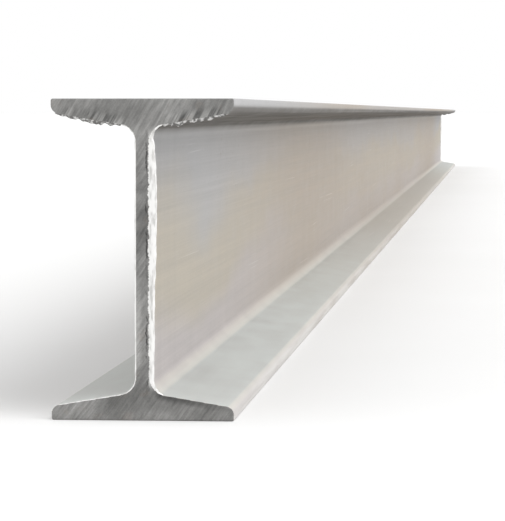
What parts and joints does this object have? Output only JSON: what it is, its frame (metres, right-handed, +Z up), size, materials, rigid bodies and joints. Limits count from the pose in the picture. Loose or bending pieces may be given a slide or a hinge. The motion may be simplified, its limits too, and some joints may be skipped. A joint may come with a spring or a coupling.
{
  "type": "steel i-beam",
  "caption": "Straight hot-rolled steel I-beam with tapered flanges, a thin web, filleted roots and rough cut ends; structural stock for spanning and framing.",
  "frame": {"origin": "on the floor under the middle of the bar, at the centre of the lower flange's bottom face", "axes": "+X across the flanges, +Y along the bar, +Z up the web"},
  "size_m": [0.08, 6, 0.14],
  "materials": {
    "rolled_steel": "grey mill scale as hot rolled, satin, with rougher cut ends"
  },
  "bodies": {
    "root": {"i_beam": "rolled_steel"}
  },
  "joints": []
}
